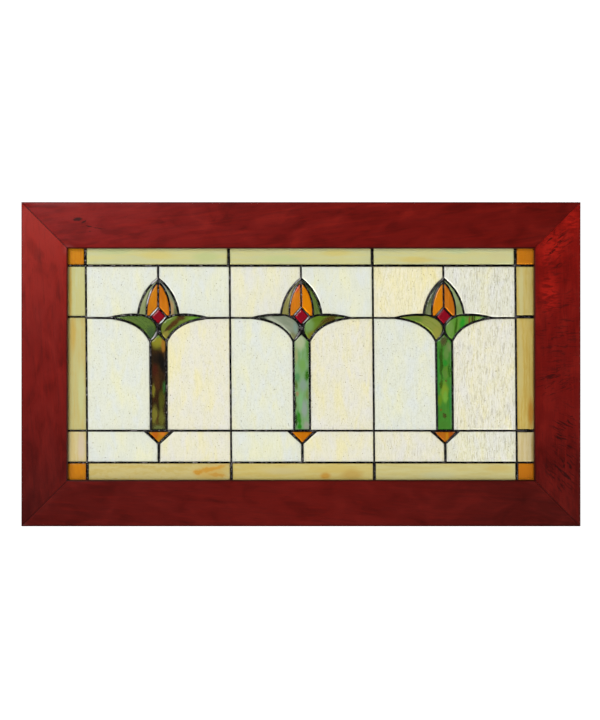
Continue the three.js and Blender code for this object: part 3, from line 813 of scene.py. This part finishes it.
def panel():
    """The solder and every tile, all from the outline of the seams' flat front in the CAD model."""
    slots = {part["node"]: part["material_slot"] for part in frame["record"]["subparts"]}
    outlines = sorted(face_loops(frame["nodes"]["solder_seams"], SOLDER_FACE), key=signed_area)
    rim = outlines.pop()
    tiles = {}
    for name in slots:
        if name.startswith(("border", "bay", "flower")):
            low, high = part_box(name)
            middle = np.array(((low.x + high.x) / 2, (low.z + high.z) / 2)) / MM
            tiles[name] = min(outlines, key=lambda loop: np.linalg.norm(centroid(loop) - middle))
    taken = {id(loop) for loop in tiles.values()}
    bonded = [loop for loop in outlines if id(loop) not in taken]
    bonded.sort(key=lambda loop: (round(centroid(loop)[1] / ROW_HEIGHT), centroid(loop)[0]))
    names = [f"flower_{bay}_{part}" for part in ("foot", "diamond") for bay in (1, 2, 3)]
    tiles.update(zip(names, bonded, strict=True))
    slots.update({name: "red_glass" if "diamond" in name else "orange_glass" for name in names})
    shaped = {}
    for seed, name in enumerate(sorted(tiles), start=1):
        loop = tiles[name][::-1] if signed_area(tiles[name]) < 0 else tiles[name]
        shaped[name] = hand_run(inset(resampled(loop, SEAM_SPACING), SEAM_LAP), seed)
    holes = [loop[::-1] for loop in shaped.values()]
    solder_seams([resampled(rim, 4 * SEAM_SPACING)] + holes)
    for seed, (name, loop) in enumerate(shaped.items(), start=1):
        glass_tile(name, loop, seed, None if name in names else name)


# ======== Wood ========

DARK_MARK_AND_SHADE = srgb(30, 6, 5)          # dark marks in the wood: pores, checks and knots, and painted shade on its edges
FLAME = srgb(140, 26, 14)
BLAZE = srgb(162, 26, 16)

# For each member: the stain at its left or top end, its middle and its other end, with painted light in
# it, lighter towards the top left of the window and darker towards its foot; the tilt of its grain in
# degrees, how strongly bright streaks show and how dark the joint is at those two ends, and how dark its
# outer edge is, which is painted shade.
MEMBERS = {
    "frame_top_rail": {
        "stain": ((124, 19, 16), (104, 14, 9), (95, 12, 7)),
        "grain_tilt": 7, "glow": (1.0, 0.6), "joints": (0.75, 0.1), "rim": 0.15},
    "frame_bottom_rail": {
        "stain": ((80, 10, 6), (94, 13, 7), (70, 10, 6)),
        "grain_tilt": -3, "glow": (0.35, 0.3), "joints": (0.5, 0.5), "rim": 0.6},
    "frame_left_stile": {
        "stain": ((146, 30, 20), (109, 15, 9), (64, 8, 6)),
        "grain_tilt": 4, "glow": (1.0, 0.3), "joints": (0.75, 0.5), "rim": 0.3},
    "frame_right_stile": {
        "stain": ((124, 14, 8), (104, 12, 7), (77, 10, 6)),
        "grain_tilt": 0, "glow": (1.0, 0.5), "joints": (0.1, 0.5), "rim": 0.3},
}

# The knot and checks of the top rail: (x, z), half the width and the length, and the tilt.
TOP_KNOTS = (
    ((-350, -27), (3.2, 9), 84),
    ((-340, -31), (1.6, 5), 60),
    ((-332, -38), (1.1, 6), 100),
    ((-318, -41), (0.8, 8), 98),
    ((-330, -46), (0.7, 2.5), 90),
)
# The figure of the right stile, across its middle line and up: flames with their half size and
# tilt, and curls that also have the tilt, width, length and depth of their lines.
FLAMES = (
    ((-8, -70), (20, 30), 30),
    ((22, -32), (12, 24), 0),
    ((-13, -142), (15, 30), 0),
)
CURLS = (
    ((-2, -72), (26, 34), 52, 2.8, 26, 0.85),
    ((0, -190), (40, 110), 84, 2.4, 24, 0.5),
    ((-4, -284), (34, 26), 68, 2.6, 26, 0.75),
    ((12, -356), (22, 40), 112, 3.0, 24, 0.9),
    ((8, -420), (28, 44), 136, 3.0, 22, 0.8),
)


def wood_material(node, axis, seed, knots=(), figure=None):
    """Red mahogany stain under a satin coat, with grain along the member and cloudy stain, painted light
    that is brighter towards the top left, and painted shade on its outer edge and next to the glass.
    """
    shader = Shader(node + "_stain", seed)
    low, high = (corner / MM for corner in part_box(node))
    wood = MEMBERS[node]
    x, _, z = shader.node("SeparateXYZ", {0: shader.place}).outputs
    if axis == "x":
        way, start, end = x, low.x, high.x
        across, outer = z, high.z if "top" in node else low.z
        width = high.z - low.z
    else:
        way, start, end = z, high.z, low.z
        across, outer = x, low.x if "left" in node else high.x
        width = high.x - low.x
    inwards = shader.distance(across, outer)
    grain = shader.turned(shader.seeded, wood["grain_tilt"])

    def along(length, width):
        return (length, width, width) if axis == "x" else (width, width, length)

    halfway = (start + end) / 2
    # The stain's three tones also hold painted light: lighter towards the top left of the window, darker
    # towards its foot.
    first, middle, last = (srgb(*tone) for tone in wood["stain"])
    colour = shader.mix(shader.between(way, start, halfway), first, middle)
    colour = shader.mix(shader.between(way, halfway, end), colour, last)
    glow = shader.between(way, start, end, *wood["glow"])
    cloud = shader.noise(along(60, 26), detail=3, distortion=1.0, at=grain)
    colour = shader.mix(shader.between(cloud, 0.3, 0.5, 0.3, 0.0), colour, DARK_MARK_AND_SHADE)
    bright_clouds = shader.times(shader.between(cloud, 0.5, 0.72, 0.0, 0.4), glow)
    colour = shader.mix(bright_clouds, colour, FLAME)
    streak = shader.noise(along(70, 5), detail=4, roughness=0.6, distortion=0.7, at=grain)
    bright_streaks = shader.times(shader.between(streak, 0.5, 0.68, 0.0, 0.3), glow)
    colour = shader.mix(bright_streaks, colour, FLAME)
    colour = shader.mix(shader.between(streak, 0.3, 0.48, 0.2, 0.0), colour, DARK_MARK_AND_SHADE)
    fine = shader.noise(along(22, 1.2), detail=3, roughness=0.7, at=grain)
    colour = shader.mix(shader.between(fine, 0.28, 0.46, 0.32, 0.0), colour, DARK_MARK_AND_SHADE)
    at = shader.wandering(1.2, 4.0)
    for centre, half_size, tilt in knots:
        mark = shader.blob(at, centre, half_size, tilt, core=0.5, rim=1.1)
        colour = shader.mix(shader.times(mark, 0.85), colour, DARK_MARK_AND_SHADE)
    if figure:
        colour = figure(shader, colour)
    for tip, depth in zip((start, end), wood["joints"]):
        gap = shader.math("SUBTRACT", shader.distance(way, tip), inwards)
        colour = shader.mix(shader.between(gap, 0.2, 1.2, depth, 0.0), colour, DARK_MARK_AND_SHADE)
    # Painted shade on the rounded outer edge, strongest on the bottom rail.
    rim = shader.between(inwards, 0.5, 4.0, wood["rim"], 0.0)
    colour = shader.mix(rim, colour, DARK_MARK_AND_SHADE)
    # Painted shade on the inner edge, in the recess where the wood stands proud of the glass.
    painted_lip_shade = shader.between(inwards, width - 3.2, width - 0.8, 0.0, 0.7)
    colour = shader.mix(painted_lip_shade, colour, DARK_MARK_AND_SHADE)
    roughness = shader.between(cloud, 0.3, 0.7, 0.3, 0.36)
    normal = shader.bump(fine, 0.02, shader.bump(shader.noise(along(60, 16)), 0.2))
    return shader.finish(colour, normal, Roughness=roughness, Specular_IOR_Level=0.18)


def figure_lines(shader, at, tilt, width, length):
    """Fine broken lines of the given width and length, tilted from upright towards the right."""
    turned = shader.turned(at, -tilt)
    grain = shader.noise((width, width, length), detail=2, roughness=0.55, distortion=0.8, at=turned)
    return shader.between(grain, 0.36, 0.47, 1.0, 0.0)


def curl_figure(shader, colour):
    """Crotch figure: brighter flames near the top, and curls all the way down the stile."""
    low, high = (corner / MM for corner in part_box("frame_right_stile"))
    middle = (low.x + high.x) / 2
    at = shader.wandering(3.0, 16.0)
    flames = shader.noise((26, 26, 7), detail=3, distortion=1.5, at=at)
    bright = shader.between(flames, 0.38, 0.56)
    for (across, height), half_size, tilt in FLAMES:
        place = shader.blob(at, (middle + across, height), half_size, tilt, core=0.2, rim=1.5)
        share = shader.times(shader.times(place, bright), 0.85)
        colour = shader.mix(share, colour, BLAZE)
    for (across, height), half_size, tilt, width, length, depth in CURLS:
        place = shader.blob(at, (middle + across, height), half_size, 0, core=0.4, rim=1.4)
        lines = figure_lines(shader, at, tilt, width, length)
        share = shader.times(shader.times(place, lines), depth)
        colour = shader.mix(share, colour, DARK_MARK_AND_SHADE)
    return colour


def member_section(width, depth):
    """The section of a member, from the outer edge (u = 0) to the glass, with y from front to back.
    It runs round the member, and its faces are cut into columns."""
    half = depth / 2
    r = ARRIS_RADIUS

    def arris(u, y, start):
        angles = start + np.linspace(0, math.pi / 2, ARRIS_STEPS + 1)
        return [(u + r * math.cos(a), y + r * math.sin(a)) for a in angles]

    def face(u_from, u_to, y):
        return [(u, y) for u in np.linspace(u_from, u_to, FACE_COLUMNS + 2)[1:-1]]

    section = arris(r, -half + r, math.pi)
    section += face(r, width - r, -half)
    section += arris(width - r, -half + r, 1.5 * math.pi)
    section += [(width, -GROOVE_HALF), (width - GROOVE_DEPTH, -GROOVE_HALF)]
    section += [(width - GROOVE_DEPTH, GROOVE_HALF), (width, GROOVE_HALF)]
    section += arris(width - r, half - r, 0)
    section += face(width - r, r, half)
    section += arris(r, half - r, 0.5 * math.pi)
    return np.array(section)


def frame_member(node, place, grain_axis, material, seed):
    """A mitred member. place turns (along, inwards) on the member into (x, z) on the window."""
    low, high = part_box(node)
    spans = sorted(((high.x - low.x) / MM, (high.z - low.z) / MM))
    width, length, depth = spans[0], spans[1] + MITRE_GAP * math.sqrt(2), (high.y - low.y) / MM
    section = member_section(width, depth)
    setback = MITRE_GAP / math.sqrt(2)
    rings = max(8, round(length / RAIL_STEP))
    ease = MITRE_EASE * np.exp(-np.arange(rings + 1) * MITRE_EASE_END)
    ease = ease + ease[::-1]
    vertices = []
    for ring, share in enumerate(np.linspace(-1, 1, rings + 1)):
        for u, y in section:
            along = share * (length / 2 - setback - u)
            sunk = ease[ring] * np.sign(y) if abs(y) > GROOVE_HALF else 0
            wave = noise.noise(Vector((along / 40, u / 26, seed + np.sign(y)))) * PLANING_WAVE
            inward = (abs(wave) + abs(sunk)) * np.sign(y) if abs(y) > depth / 2 - 0.01 else 0
            x, z = place(along, u)
            vertices.append((x, y - inward, z))
    count = len(section)
    faces = []
    for ring in range(rings):
        for k in range(count):
            a = ring * count + k
            b = ring * count + (k + 1) % count
            faces.append((a, b, b + count, a + count))
    faces.append(tuple(range(count))[::-1])
    faces.append(tuple(range(rings * count, (rings + 1) * count)))
    member = mesh_object(node + "_wood", np.array(vertices) * MM, faces, creases_from=len(faces) - 2)
    straighten(member)
    member.data.materials.append(material)
    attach(member, "root")
    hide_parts(node)


def straighten(piece):
    """Turns every face outwards, and keeps the sharp edges of the groove and mitres sharp."""
    bpy.context.view_layer.objects.active = piece
    bpy.ops.object.select_all(action="DESELECT")
    piece.select_set(True)
    bpy.ops.object.mode_set(mode="EDIT")
    bpy.ops.mesh.select_all(action="SELECT")
    bpy.ops.mesh.normals_make_consistent(inside=False)
    bpy.ops.object.mode_set(mode="OBJECT")
    piece.data.set_sharp_from_angle(angle=math.radians(40))


def wooden_frame():
    low, high = (corner / MM for corner in cad_box)
    middle = (low.z + high.z) / 2
    members = {
        "frame_top_rail": (lambda a, u: (a, -u), "x", dict(knots=TOP_KNOTS)),
        "frame_bottom_rail": (lambda a, u: (-a, low.z + u), "x", {}),
        "frame_left_stile": (lambda a, u: (low.x + u, middle + a), "z", {}),
        "frame_right_stile": (lambda a, u: (high.x - u, middle - a), "z", dict(figure=curl_figure)),
    }
    for seed, (node, (place, axis, extras)) in enumerate(members.items(), start=1):
        material = wood_material(node, axis, seed, **extras)
        frame_member(node, place, axis, material, seed)


# ======== Studio ========

def softbox(name, place, target, side, power):
    light = bpy.data.lights.new(name, "AREA")
    light.size = side
    light.energy = power
    lamp = placed(name, light)
    lamp.location = place
    lamp.visible_camera = False
    lamp.rotation_euler = (target - lamp.location).to_track_quat("-Z", "Y").to_euler()


def surroundings():
    """White to the eye and through the glass, and a dim room to every surface."""
    world = bpy.data.worlds.new("surroundings")
    bpy.context.scene.world = world
    world.use_nodes = True
    tree = world.node_tree
    background = tree.nodes["Background"]
    ray = add_node(tree, "LightPath").outputs
    straight = {0: ray["Is Camera Ray"], 1: ray["Is Transmission Ray"]}
    seen = add_node(tree, "Math", straight, operation="MAXIMUM").outputs[0]
    levels = {"Value": seen, "To Min": ROOM_MIRRORED, "To Max": ROOM_SEEN}
    strength = add_node(tree, "MapRange", levels).outputs[0]
    lit = {0: ray["Is Diffuse Ray"], 1: ROOM_LIGHT, 2: strength}
    room = add_node(tree, "Math", lit, operation="MULTIPLY_ADD").outputs[0]
    tree.links.new(room, background.inputs["Strength"])
    background.inputs["Color"].default_value = (1, 1, 1, 1)


def floor(level):
    """A pale sheet under the window, well below it."""
    corners = ((-1, -1), (1, -1), (1, 1), (-1, 1))
    vertices = [(x * FLOOR_HALF, y * FLOOR_HALF, level) for x, y in corners]
    sheet = mesh_object("floor", vertices, [(0, 1, 2, 3)], creases_from=1)
    pale = Shader("floor_pale")
    cloth = pale.mix(pale.noise((300, 300, 300)), srgb(250, 250, 250), srgb(246, 246, 246))
    sheet.data.materials.append(pale.finish(
        cloth, Roughness=0.9, Emission_Color=(1, 1, 1, 1), Emission_Strength=0.8))
    sheet.visible_glossy = False


def studio():
    low, high = cad_box
    centre = (low + high) / 2
    surroundings()
    for name, (place, side, power) in LAMPS.items():
        softbox(name, place, centre, side, power)
    floor(low.z - FLOOR_DROP)
    camera_data = bpy.data.cameras.new("camera")
    camera_data.sensor_width = 36.0
    view_height = (high.x - low.x) / FRAME_SHARE * PICTURE[1] / PICTURE[0]
    camera_data.lens = camera_data.sensor_width * VIEW_DISTANCE / view_height
    camera = placed("camera", camera_data)
    camera.location = (centre.x - LOOK_LEFT, low.y - VIEW_DISTANCE, centre.z + LOOK_UP)
    camera.rotation_euler = (math.pi / 2, 0, 0)
    bpy.context.scene.camera = camera
    bpy.context.scene.view_settings.view_transform = "Standard"


for leftover in list(bpy.data.objects):
    bpy.data.objects.remove(leftover)
noise.seed_set(NOISE_SEED)
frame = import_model()
cad_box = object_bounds()
panel()
wooden_frame()
studio()
